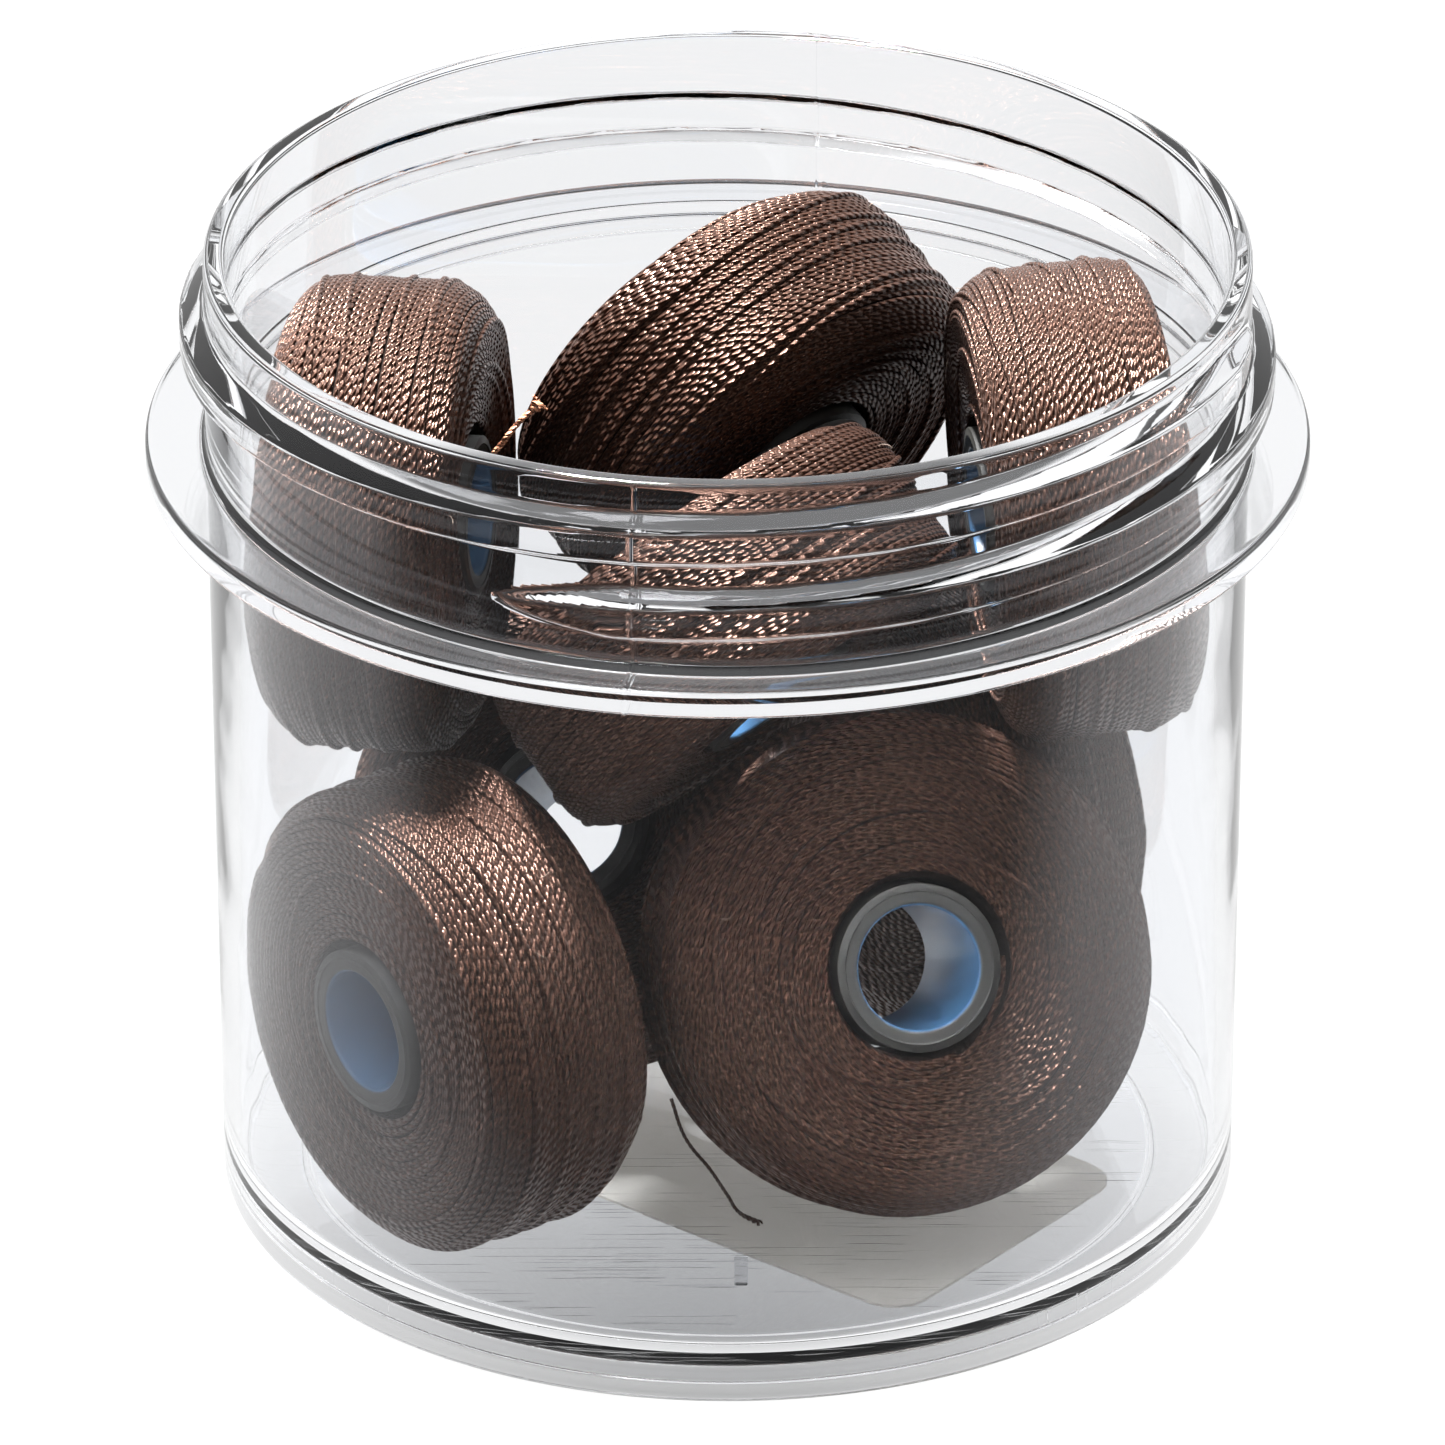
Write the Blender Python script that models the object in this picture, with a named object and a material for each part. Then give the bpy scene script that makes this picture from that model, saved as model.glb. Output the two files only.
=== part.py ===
"""Open clear screw-neck jar with eight wound sewing bobbins in it.

The jar is one injection moulding in clear polystyrene: a straight body on a
foot ring, a collar, and a continuous-thread neck.  Each bobbin is a rigid
plastic core tube with sewing thread wound on it in a flangeless package, and
the bobbins lie loose in the jar.  A paper label sits in the base recess.

Frame: millimetres below are turned into metres by MM; +Z is up, the jar's axis
is the Z axis, and z = 0 is the underside of the foot ring.  -Y is the front.
"""
import math

import bmesh
import bpy
from mathutils import Vector

MM = 0.001

# Jar, a 58 mm continuous-thread neck on a straight body
HEIGHT = 53.15
NECK_RADIUS = 27.0
MOUTH_RADIUS = 25.9
BODY_RADIUS = 26.95
HEEL_RADIUS = 26.6
BORE_RADIUS = 25.7
COLLAR_RADIUS = 30.1
COLLAR_TOP = 43.05
COLLAR_BOTTOM = 41.6
FLOOR_TOP = 2.4
FLOOR_UNDER = 1.0
FLOOR_FILLET = 1.6
FOOT_INNER_RADIUS = 22.3
FOOT_ROUND = 0.7
GATE_RADIUS = 2.4
GATE_DEPTH = 0.5
EDGE = 0.3

# Neck thread, right-handed, six turns to the inch
THREAD_PITCH = 25.4 / 6
THREAD_HEIGHT = 1.25
THREAD_START_ANGLE = math.radians(-115)
THREAD_START_Z = 45.65
THREAD_SWEEP = math.radians(465)
THREAD_LEAD = math.radians(12)
THREAD_ROOT_HALF = 1.5
THREAD_CREST_HALF = 0.8
THREAD_EMBED = 0.4

# Paper label in the base recess
LABEL_LENGTH = 38.0
LABEL_WIDTH = 18.8
LABEL_CORNER = 2.0
LABEL_THICKNESS = 0.15
LABEL_TURN = math.radians(-39)

# Bobbins: one core size, wound to slightly different radii
CORE_BORE_RADIUS = 3.2
CORE_RADIUS = 4.3
CORE_CHAMFER = 0.25
FIT_GAP = 0.3
WOUND_WIDTH = 10.0
SHOULDER_RADIUS = 2.4
FACE_SINK = 0.3

# Each bobbin in the order it can be lifted out: centre, the way its axis
# points (azimuth and elevation in degrees), and its wound radius
BOBBINS = (
    ((0.85, 13.31, 37.64), 311.5, -26.6, 12.25),
    ((-17.85, 3.26, 36.38), 349.7, 1.4, 12.35),
    ((17.89, 2.25, 37.73), 187.9, -3.7, 12.35),
    ((-0.10, -4.30, 33.72), 320.4, -41.2, 12.30),
    ((-14.58, -10.70, 15.11), 215.8, -0.2, 12.35),
    ((-8.12, 8.54, 14.47), 260.0, 38.0, 12.20),
    ((8.51, -8.28, 16.16), 286.7, 24.6, 12.85),
    ((11.74, 12.40, 15.22), 219.0, 4.3, 12.30),
)

# Free thread ends, as points along each end, keyed by bobbin number
THREAD_RADIUS = 0.16
THREAD_ENDS = {
    2: ((-12.2, 1.4, 40.7), (-11.6, 1.2, 41.6), (-10.8, 1.4, 42.6), (-9.7, 1.9, 43.5)),
    7: ((-2.9, -14.3, 11.5), (-2.2, -14.6, 9.4), (-0.9, -14.3, 7.3),
        (0.0, -13.6, 5.4), (0.6, -12.9, 4.0), (1.7, -12.3, 3.0)),
}

JAR_STEPS = 64
BOBBIN_STEPS = 32
CORE_STEPS = 24


def material(name, colour, roughness, metallic=0.0, transmission=0.0):
    mat = bpy.data.materials.new(name)
    mat.use_nodes = True
    shader = mat.node_tree.nodes["Principled BSDF"]
    shader.inputs["Base Color"].default_value = (*colour, 1.0)
    shader.inputs["Roughness"].default_value = roughness
    shader.inputs["Metallic"].default_value = metallic
    shader.inputs["Transmission Weight"].default_value = transmission
    mat.diffuse_color = (*colour, 1.0)
    return mat


def new_object(name, mesh, mat=None, parent=None):
    obj = bpy.data.objects.new(name, mesh)
    bpy.context.collection.objects.link(obj)
    if mat is not None:
        mesh.materials.append(mat)
    obj.parent = parent
    return obj


def hide_as_guide(obj):
    obj.hide_render = True
    obj.display_type = "WIRE"


def arc(centre_r, centre_z, radius, start, end, count):
    """Points of an arc in the (r, z) half plane, angles in degrees from +r."""
    points = []
    for i in range(count + 1):
        angle = math.radians(start + (end - start) * i / count)
        points.append((centre_r + radius * math.cos(angle), centre_z + radius * math.sin(angle)))
    return points


def turned(name, profile, steps, mat, closed=False, parent=None):
    """Solid of revolution about Z from an (r, z) profile in millimetres."""
    bm = bmesh.new()
    verts = [bm.verts.new((r * MM, 0.0, z * MM)) for r, z in profile]
    for a, b in zip(verts, verts[1:]):
        bm.edges.new((a, b))
    if closed:
        bm.edges.new((verts[-1], verts[0]))
    mesh = bpy.data.meshes.new(name)
    bm.to_mesh(mesh)
    bm.free()
    obj = new_object(name, mesh, mat, parent)
    screw = obj.modifiers.new("Turn", "SCREW")
    screw.steps = steps
    screw.render_steps = steps
    screw.use_merge_vertices = True
    screw.merge_threshold = 0.00001
    screw.use_smooth_shade = True
    return obj


def jar_profile():
    """From the floor's centre out, up the inside, down the outside, to the base's centre."""
    inside = [(0.0, FLOOR_TOP - GATE_DEPTH), (0.6 * GATE_RADIUS, FLOOR_TOP - 0.8 * GATE_DEPTH),
              (GATE_RADIUS, FLOOR_TOP)]
    inside += arc(BORE_RADIUS - FLOOR_FILLET, FLOOR_TOP + FLOOR_FILLET, FLOOR_FILLET, -90, 0, 3)
    rim = [(MOUTH_RADIUS, HEIGHT - EDGE), (MOUTH_RADIUS + EDGE, HEIGHT),
           (NECK_RADIUS - EDGE, HEIGHT), (NECK_RADIUS, HEIGHT - EDGE)]
    collar = [(NECK_RADIUS, COLLAR_TOP + EDGE), (NECK_RADIUS + EDGE, COLLAR_TOP),
              (COLLAR_RADIUS - EDGE, COLLAR_TOP), (COLLAR_RADIUS, COLLAR_TOP - EDGE),
              (COLLAR_RADIUS, COLLAR_BOTTOM + EDGE), (COLLAR_RADIUS - EDGE, COLLAR_BOTTOM),
              (BODY_RADIUS + EDGE, COLLAR_BOTTOM), (BODY_RADIUS, COLLAR_BOTTOM - EDGE)]
    foot = arc(HEEL_RADIUS - FOOT_ROUND, FOOT_ROUND, FOOT_ROUND, 0, -90, 2)
    foot += [(FOOT_INNER_RADIUS + EDGE, 0.0), (FOOT_INNER_RADIUS, EDGE),
             (FOOT_INNER_RADIUS, FLOOR_UNDER), (0.0, FLOOR_UNDER)]
    return inside + rim + collar + foot


def neck_thread_mesh():
    """Helical ridge that tapers to nothing at both ends, rooted inside the neck wall."""
    count = int(JAR_STEPS * THREAD_SWEEP / math.tau)
    bm = bmesh.new()
    rings = []
    for i in range(count + 1):
        sweep = THREAD_SWEEP * i / count
        angle = THREAD_START_ANGLE + sweep
        centre_z = THREAD_START_Z + THREAD_PITCH * sweep / math.tau
        full = min(1.0, 0.06 + min(sweep, THREAD_SWEEP - sweep) / THREAD_LEAD)
        root = THREAD_ROOT_HALF * full
        crest = THREAD_CREST_HALF * full
        top = NECK_RADIUS + THREAD_HEIGHT * full
        base = NECK_RADIUS - THREAD_EMBED
        section = ((base, -root), (top - 0.2 * full, -crest - 0.15 * full), (top, -0.7 * crest),
                   (top, 0.7 * crest), (top - 0.2 * full, crest + 0.15 * full), (base, root))
        rings.append([bm.verts.new((r * math.cos(angle) * MM, r * math.sin(angle) * MM,
                                    (centre_z + dz) * MM)) for r, dz in section])
    for a, b in zip(rings, rings[1:]):
        for k in range(len(a)):
            n = (k + 1) % len(a)
            bm.faces.new((a[k], b[k], b[n], a[n]))
    bm.faces.new(rings[0])
    bm.faces.new(tuple(reversed(rings[-1])))
    bmesh.ops.recalc_face_normals(bm, faces=bm.faces)
    mesh = bpy.data.meshes.new("neck_thread_guide")
    bm.to_mesh(mesh)
    bm.free()
    return mesh


def make_jar(mat):
    jar = turned("jar", jar_profile(), JAR_STEPS, mat)
    ridge = new_object("neck_thread_guide", neck_thread_mesh())
    hide_as_guide(ridge)
    union = jar.modifiers.new("Neck thread", "BOOLEAN")
    union.operation = "UNION"
    union.object = ridge
    return jar


def make_label(mat):
    """Rounded rectangle of paper just under the base panel."""
    bm = bmesh.new()
    half_x = LABEL_LENGTH / 2 - LABEL_CORNER
    half_y = LABEL_WIDTH / 2 - LABEL_CORNER
    outline = []
    for quarter, (sx, sy) in enumerate(((1, 1), (-1, 1), (-1, -1), (1, -1))):
        corner = arc(sx * half_x, sy * half_y, LABEL_CORNER, 90 * quarter, 90 * quarter + 90, 4)
        outline += [bm.verts.new((x * MM, y * MM, 0.0)) for x, y in corner]
    face = bm.faces.new(outline)
    lifted = bmesh.ops.extrude_face_region(bm, geom=[face])
    top = [v for v in lifted["geom"] if isinstance(v, bmesh.types.BMVert)]
    bmesh.ops.translate(bm, verts=top, vec=(0.0, 0.0, LABEL_THICKNESS * MM))
    bmesh.ops.recalc_face_normals(bm, faces=bm.faces)
    mesh = bpy.data.meshes.new("base_label")
    bm.to_mesh(mesh)
    bm.free()
    label = new_object("base_label", mesh, mat)
    label.location.z = (FLOOR_UNDER - FIT_GAP - LABEL_THICKNESS) * MM
    label.rotation_euler.z = LABEL_TURN
    return label


def winding_profile(radius):
    """Closed profile: down the outside, in under the lower face, up the bore."""
    half = WOUND_WIDTH / 2
    turn_r = radius - SHOULDER_RADIUS
    turn_z = half - SHOULDER_RADIUS
    bore = CORE_RADIUS + FIT_GAP
    upper = arc(turn_r, turn_z, SHOULDER_RADIUS, 90, 0, 3)
    lower = [(r, -z) for r, z in reversed(upper)]
    return upper + lower + [(bore, FACE_SINK - half), (bore, half - FACE_SINK)]


def core_profile():
    half = WOUND_WIDTH / 2
    outer = [(CORE_RADIUS, half), (CORE_RADIUS, -half)]
    bore = [(CORE_BORE_RADIUS + CORE_CHAMFER, -half), (CORE_BORE_RADIUS, CORE_CHAMFER - half),
            (CORE_BORE_RADIUS, half - CORE_CHAMFER), (CORE_BORE_RADIUS + CORE_CHAMFER, half)]
    return outer + bore


def make_bobbin(number, centre, azimuth, elevation, radius, thread_mat, core_mat):
    """Core and winding on one empty at the bobbin's centre, with its axis along local Z."""
    azimuth = math.radians(azimuth)
    elevation = math.radians(elevation)
    axis = Vector((math.cos(elevation) * math.cos(azimuth),
                   math.cos(elevation) * math.sin(azimuth), math.sin(elevation)))
    holder = bpy.data.objects.new(f"bobbin_{number}", None)
    bpy.context.collection.objects.link(holder)
    holder.location = Vector(centre) * MM
    holder.rotation_mode = "QUATERNION"
    holder.rotation_quaternion = axis.to_track_quat("Z", "Y")
    turned(f"bobbin_{number}_thread", winding_profile(radius), BOBBIN_STEPS, thread_mat,
           closed=True, parent=holder)
    turned(f"bobbin_{number}_core", core_profile(), CORE_STEPS, core_mat,
           closed=True, parent=holder)


def make_thread_end(number, points, mat):
    """Short free end of the thread, as a round tube along a smooth curve."""
    guide = [Vector(p) for p in points]
    smooth = []
    for i in range(len(guide) - 1):
        before = guide[max(i - 1, 0)]
        after = guide[min(i + 2, len(guide) - 1)]
        tangent_a = (guide[i + 1] - before) / 2
        tangent_b = (after - guide[i]) / 2
        for k in range(3):
            t = k / 3
            smooth.append((2 * t**3 - 3 * t**2 + 1) * guide[i] + (t**3 - 2 * t**2 + t) * tangent_a
                          + (3 * t**2 - 2 * t**3) * guide[i + 1] + (t**3 - t**2) * tangent_b)
    smooth.append(guide[-1])
    curve = bpy.data.curves.new(f"bobbin_{number}_thread_end", "CURVE")
    curve.dimensions = "3D"
    curve.bevel_depth = THREAD_RADIUS * MM
    curve.bevel_resolution = 2
    curve.use_fill_caps = True
    spline = curve.splines.new("POLY")
    spline.points.add(len(smooth) - 1)
    for point, place in zip(spline.points, smooth):
        point.co = (*(place * MM), 1.0)
    return new_object(curve.name, curve, mat)


def main():
    for obj in list(bpy.data.objects):
        bpy.data.objects.remove(obj, do_unlink=True)
    clear = material("clear polystyrene", (0.93, 0.95, 0.96), 0.04, transmission=0.9)
    paper = material("label paper", (0.55, 0.54, 0.52), 0.8)
    thread = material("brown polyester thread", (0.045, 0.022, 0.016), 0.45)
    tube = material("blue-grey core plastic", (0.12, 0.17, 0.24), 0.4)
    make_jar(clear)
    make_label(paper)
    for number, (centre, azimuth, elevation, radius) in enumerate(BOBBINS, start=1):
        make_bobbin(number, centre, azimuth, elevation, radius, thread, tube)
    for number, points in THREAD_ENDS.items():
        make_thread_end(number, points, thread)


main()
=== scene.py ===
"""A bobbin box: an open, clear screw-neck jar with eight ready-wound bobbins lying in it.

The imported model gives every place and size; this script makes the fine surfaces and finishes.
"""
import math

import bmesh
import bpy
import numpy as np
from mathutils import Matrix, Vector


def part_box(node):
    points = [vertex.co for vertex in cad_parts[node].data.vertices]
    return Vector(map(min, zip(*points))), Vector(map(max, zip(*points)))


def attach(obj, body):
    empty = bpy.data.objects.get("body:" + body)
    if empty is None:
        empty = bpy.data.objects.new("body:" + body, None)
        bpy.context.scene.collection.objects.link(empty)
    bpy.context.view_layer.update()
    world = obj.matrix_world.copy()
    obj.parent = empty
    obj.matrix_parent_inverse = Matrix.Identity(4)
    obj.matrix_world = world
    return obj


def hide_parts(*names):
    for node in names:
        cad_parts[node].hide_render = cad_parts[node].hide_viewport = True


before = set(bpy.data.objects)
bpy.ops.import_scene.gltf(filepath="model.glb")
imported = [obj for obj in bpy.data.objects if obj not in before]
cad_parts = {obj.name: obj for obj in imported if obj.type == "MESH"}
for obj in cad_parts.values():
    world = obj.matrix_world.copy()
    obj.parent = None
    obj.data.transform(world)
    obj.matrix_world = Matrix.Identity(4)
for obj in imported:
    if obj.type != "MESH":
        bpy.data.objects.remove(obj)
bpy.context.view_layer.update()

MM = 0.001


# ---------------------------------------------------------------------------------------------
# The jar: one injection moulding in clear polystyrene. A straight body stands on a foot ring,
# and over a collar rises the neck with its rounded screw thread. The two halves of the mould
# leave a fine raised line down the neck and collar, front and back.
# ---------------------------------------------------------------------------------------------
JAR_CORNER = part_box("jar")[1]
RIM_Z = JAR_CORNER.z / MM
COLLAR_RADIUS = JAR_CORNER.x / MM
COLLAR_TOP = 43.05
COLLAR_BOTTOM = 41.6
NECK_RADIUS = 27.0
MOUTH_RADIUS = 25.9
BODY_RADIUS = 26.95
HEEL_RADIUS = 26.6
BORE_RADIUS = 25.7
FLOOR_TOP = 2.4
FLOOR_UNDER = 1.0
FLOOR_FILLET = 1.6
FOOT_INNER_RADIUS = 22.3
GATE_RADIUS = 2.4
GATE_DEPTH = 0.5
ROUND = 0.3
NECK_ROW = 0.1

SCREW_START = math.radians(-115)
SCREW_START_Z = 45.65
SCREW_SWEEP = math.radians(465)
SCREW_LEAD = math.radians(13)
SCREW_PITCH = 25.4 / 6
SCREW_HEIGHT = 1.25
SCREW_ROOT_HALF = 1.5
SCREW_CREST_HALF = 0.75

SEAM_ANGLES = (math.radians(-100), math.radians(80))
SEAM_HALF = math.radians(0.3)
SEAM_HEIGHT = 0.06

TICK_PLACE = (0.7, -16.4)
TICK_SIZE = (0.7, 3.0, 0.18)

RIPPLE_DEPTH = 0.4 * MM
SCRATCH_DEPTH = 0.03 * MM
SCRATCH_WAYS = (0.6, -0.9)


def arc(centre_r, centre_z, radius, start, end, count):
    """Points along an arc in the (r, z) half plane, with its angles in degrees from +r."""
    angles = np.radians(np.linspace(start, end, count + 1))
    return [(centre_r + radius * math.cos(a), centre_z + radius * math.sin(a)) for a in angles]


def run(start, end, inset=0.25):
    """Two points just inside the ends of a straight stretch, which keep its shading flat."""
    a, b = Vector(start), Vector(end)
    step = (b - a).normalized() * inset
    return [tuple(a + step), tuple(b - step)]


def jar_outline():
    """From the middle of the floor out, up the inside, over the rim and down the outside."""
    points = [(0.0, FLOOR_TOP - GATE_DEPTH)]
    points += arc(0.0, FLOOR_TOP - GATE_DEPTH + GATE_RADIUS * 2.2, GATE_RADIUS * 2.2, -80, -67, 4)
    points += [(GATE_RADIUS, FLOOR_TOP - 0.05), (GATE_RADIUS + 0.2, FLOOR_TOP)]
    points += run((GATE_RADIUS + 0.2, FLOOR_TOP), (BORE_RADIUS - FLOOR_FILLET, FLOOR_TOP))
    points += arc(BORE_RADIUS - FLOOR_FILLET, FLOOR_TOP + FLOOR_FILLET, FLOOR_FILLET, -90, 0, 10)
    points += run((BORE_RADIUS, FLOOR_TOP + FLOOR_FILLET), (BORE_RADIUS, COLLAR_BOTTOM))
    points += run((MOUTH_RADIUS, COLLAR_TOP + 1.5), (MOUTH_RADIUS, RIM_Z - ROUND))
    points += arc(MOUTH_RADIUS + ROUND, RIM_Z - ROUND, ROUND, 180, 90, 6)
    points += arc(NECK_RADIUS - ROUND, RIM_Z - ROUND, ROUND, 90, 0, 6)
    rows = int((RIM_Z - COLLAR_TOP - 3 * ROUND) / NECK_ROW)
    points += [(NECK_RADIUS, z) for z in np.linspace(RIM_Z - 1.5 * ROUND, COLLAR_TOP + 1.5 * ROUND, rows)]
    points += arc(NECK_RADIUS + ROUND, COLLAR_TOP + ROUND, ROUND, 180, 270, 5)
    points += run((NECK_RADIUS + ROUND, COLLAR_TOP), (COLLAR_RADIUS - ROUND, COLLAR_TOP))
    points += arc(COLLAR_RADIUS - ROUND, COLLAR_TOP - ROUND, ROUND, 90, 0, 5)
    points += arc(COLLAR_RADIUS - ROUND, COLLAR_BOTTOM + ROUND, ROUND, 0, -90, 5)
    points += run((COLLAR_RADIUS - ROUND, COLLAR_BOTTOM), (BODY_RADIUS + ROUND, COLLAR_BOTTOM))
    points += arc(BODY_RADIUS + ROUND, COLLAR_BOTTOM - ROUND, ROUND, 90, 180, 5)
    points += run((BODY_RADIUS, COLLAR_BOTTOM - ROUND), (HEEL_RADIUS, 0.9))
    points += arc(HEEL_RADIUS - 0.7, 0.7, 0.7, 0, -90, 7)
    points += run((HEEL_RADIUS - 0.7, 0.0), (FOOT_INNER_RADIUS + ROUND, 0.0))
    points += arc(FOOT_INNER_RADIUS + ROUND, ROUND, ROUND, 270, 180, 5)
    points += arc(FOOT_INNER_RADIUS - ROUND, FLOOR_UNDER - ROUND, ROUND, 0, 90, 5)
    points += run((FOOT_INNER_RADIUS - ROUND, FLOOR_UNDER), (1.0, FLOOR_UNDER))
    points += [(0.0, FLOOR_UNDER)]
    return points


def screw_ridge(angle, z):
    """How far the neck's thread stands out at this angle and height, in mm."""
    out = np.zeros_like(angle)
    for turn in range(-1, 3):
        sweep = (angle - SCREW_START) % math.tau + turn * math.tau
        full = np.clip(np.minimum(sweep, SCREW_SWEEP - sweep) / SCREW_LEAD, 0.0, 1.0) ** 0.6
        away = np.abs(z - SCREW_START_Z - SCREW_PITCH * sweep / math.tau)
        flank = np.maximum((SCREW_ROOT_HALF - SCREW_CREST_HALF) * full, 1e-6)
        slope = np.clip((SCREW_ROOT_HALF * full - away) / flank, 0.0, 1.0)
        out = np.maximum(out, SCREW_HEIGHT * full * slope * (1.0 + 0.12 * (1.0 - slope)))
    return out


def seam_ridge(angle):
    """Height of the mould line at this angle, as a share of its full height."""
    away = np.min([np.abs((angle - a + math.pi) % math.tau - math.pi) for a in SEAM_ANGLES], axis=0)
    return np.clip(1.0 - away / SEAM_HALF, 0.0, 1.0)


def jar_angles(steps=300):
    angles = list(np.linspace(-math.pi, math.pi, steps, endpoint=False))
    for middle in SEAM_ANGLES:
        angles += [middle + share * SEAM_HALF for share in (-1.5, -1.0, -0.5, 0.0, 0.5, 1.0, 1.5)]
    angles = sorted((a + math.pi) % math.tau - math.pi for a in angles)
    return np.array([a for i, a in enumerate(angles) if i == 0 or a - angles[i - 1] > 1e-4])


def turned_mesh(name, rings, closed=False):
    """A mesh from rings of points (rows, columns, 3) in mm. Open outlines end on the axis."""
    rows, columns = rings.shape[:2]
    bm = bmesh.new()
    grid = []
    for row in rings:
        if not closed and np.hypot(row[0][0], row[0][1]) < 1e-6:
            grid.append([bm.verts.new(row[0] * MM)] * columns)
        else:
            grid.append([bm.verts.new(p * MM) for p in row])
    pairs = list(zip(grid, grid[1:])) + ([(grid[-1], grid[0])] if closed else [])
    for lower, upper in pairs:
        for k in range(columns):
            n = (k + 1) % columns
            corners = []
            for vert in (lower[k], lower[n], upper[n], upper[k]):
                if vert not in corners:
                    corners.append(vert)
            bm.faces.new(corners)
    bmesh.ops.recalc_face_normals(bm, faces=bm.faces)
    mesh = bpy.data.meshes.new(name)
    bm.to_mesh(mesh)
    bm.free()
    mesh.shade_smooth()
    return mesh


def add_object(name, mesh, *mats):
    obj = bpy.data.objects.new(name, mesh)
    bpy.context.scene.collection.objects.link(obj)
    for mat in mats:
        mesh.materials.append(mat)
    return obj


def jar_mesh():
    outline = np.array(jar_outline())
    angles = jar_angles()
    ahead = np.roll(outline, -1, axis=0) - np.roll(outline, 1, axis=0)
    ahead[0], ahead[-1] = (1, 0), (-1, 0)
    normal = np.stack([ahead[:, 1], -ahead[:, 0]], axis=1)
    normal /= np.linalg.norm(normal, axis=1)[:, None]
    radius = outline[:, 0][:, None] + np.zeros_like(angles)[None, :]
    height = outline[:, 1][:, None] + np.zeros_like(radius)
    turn = angles[None, :] + np.zeros_like(radius)
    outside = (outline[:, 0] >= NECK_RADIUS - 0.01) & (outline[:, 1] > COLLAR_BOTTOM - 0.01)
    neck = outside & (np.abs(outline[:, 0] - NECK_RADIUS) < 0.01)
    radius[neck] += screw_ridge(turn[neck], height[neck])
    line = seam_ridge(turn[outside]) * SEAM_HEIGHT
    radius[outside] -= normal[outside][:, :1] * line
    height[outside] -= normal[outside][:, 1:] * line
    rings = np.stack([radius * np.cos(turn), radius * np.sin(turn), height], axis=2)
    return turned_mesh("jar_clear", rings)


def add_tick(mesh):
    """The small raised bar that marks the mould's cavity, on the floor near the front."""
    bm = bmesh.new()
    bm.from_mesh(mesh)
    bar = bmesh.ops.create_cube(bm, size=1.0)["verts"]
    bmesh.ops.scale(bm, verts=bar, vec=[side * MM for side in TICK_SIZE])
    place = (TICK_PLACE[0] * MM, TICK_PLACE[1] * MM, (FLOOR_TOP + 0.03 + TICK_SIZE[2] / 2) * MM)
    bmesh.ops.translate(bm, verts=bar, vec=place)
    edges = list({edge for vert in bar for edge in vert.link_edges})
    bmesh.ops.bevel(bm, geom=edges, offset=0.06 * MM, segments=2, affect="EDGES")
    bm.to_mesh(mesh)
    bm.free()


def linear(hex_colour):
    """An sRGB hex colour as linear red, green, blue and alpha."""
    channels = [int(hex_colour[i:i + 2], 16) / 255 for i in (1, 3, 5)]
    return tuple(c / 12.92 if c <= 0.04045 else ((c + 0.055) / 1.055) ** 2.4 for c in channels) + (1.0,)


def add(tree, kind, links=None, **settings):
    """Adds a node with its settings; links gives each input a value, or a socket or node to read."""
    node = tree.nodes.new(kind)
    for name, value in settings.items():
        setattr(node, name, value)
    for key, value in (links or {}).items():
        if isinstance(value, bpy.types.Node):
            value = value.outputs[0]
        if isinstance(value, bpy.types.NodeSocket):
            tree.links.new(value, node.inputs[key])
        else:
            node.inputs[key].default_value = value
    return node


MATHS = "ShaderNodeMath"
VECTOR = "ShaderNodeVectorMath"


def new_material(name):
    mat = bpy.data.materials.new(name)
    mat.use_nodes = True
    mat.node_tree.nodes.clear()
    return mat, mat.node_tree


def finish_material(tree, shader):
    add(tree, "ShaderNodeOutputMaterial", {"Surface": shader})


def moulded_polystyrene():
    """Crystal polystyrene, injection moulded: water-clear and strongly bending, with a faint
    flow ripple in the wall and hairline scratches on the floor from the bobbins."""
    mat, tree = new_material("moulded clear polystyrene")
    place = add(tree, "ShaderNodeTexCoord").outputs["Object"]
    ripple = add(tree, "ShaderNodeTexNoise", {"Vector": place, "Scale": 160.0, "Detail": 1.0})
    height = add(tree, "ShaderNodeSeparateXYZ", {"Vector": place}).outputs["Z"]
    marks = add(tree, "ShaderNodeMapRange", {"Value": height, "From Min": (FLOOR_TOP + 0.6) * MM,
                                             "From Max": (FLOOR_TOP + 0.2) * MM})
    hairs = []
    for turn in SCRATCH_WAYS:
        stretched = add(tree, "ShaderNodeMapping", {"Vector": place, "Rotation": (0.0, 0.0, turn),
                                                    "Scale": (70.0, 3500.0, 40.0)})
        noise = add(tree, "ShaderNodeTexNoise", {"Vector": stretched, "Scale": 1.0, "Detail": 2.0})
        hairs.append(add(tree, "ShaderNodeMapRange", {"Value": noise, "From Min": 0.67, "From Max": 0.72}))
    crossed = add(tree, MATHS, {0: hairs[0], 1: hairs[1]}, operation="MAXIMUM")
    cut = add(tree, MATHS, {0: crossed, 1: marks}, operation="MULTIPLY")
    waves = add(tree, "ShaderNodeBump", {"Height": ripple, "Strength": 0.05, "Distance": RIPPLE_DEPTH})
    cuts = add(tree, "ShaderNodeBump", {"Height": cut, "Strength": 0.35, "Distance": SCRATCH_DEPTH,
                                        "Normal": waves})
    clear = add(tree, "ShaderNodeBsdfPrincipled", {
        "Base Color": linear("#fafbfd"), "Roughness": 0.015, "IOR": 1.59,
        "Specular Tint": (0.6, 0.6, 0.62, 1.0), "Transmission Weight": 1.0, "Normal": cuts})
    passing = add(tree, "ShaderNodeBsdfTransparent", {"Color": linear("#f2f4f5")})
    ray = add(tree, "ShaderNodeLightPath").outputs["Is Shadow Ray"]
    finish_material(tree, add(tree, "ShaderNodeMixShader", {0: ray, 1: clear, 2: passing}))
    return mat


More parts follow.
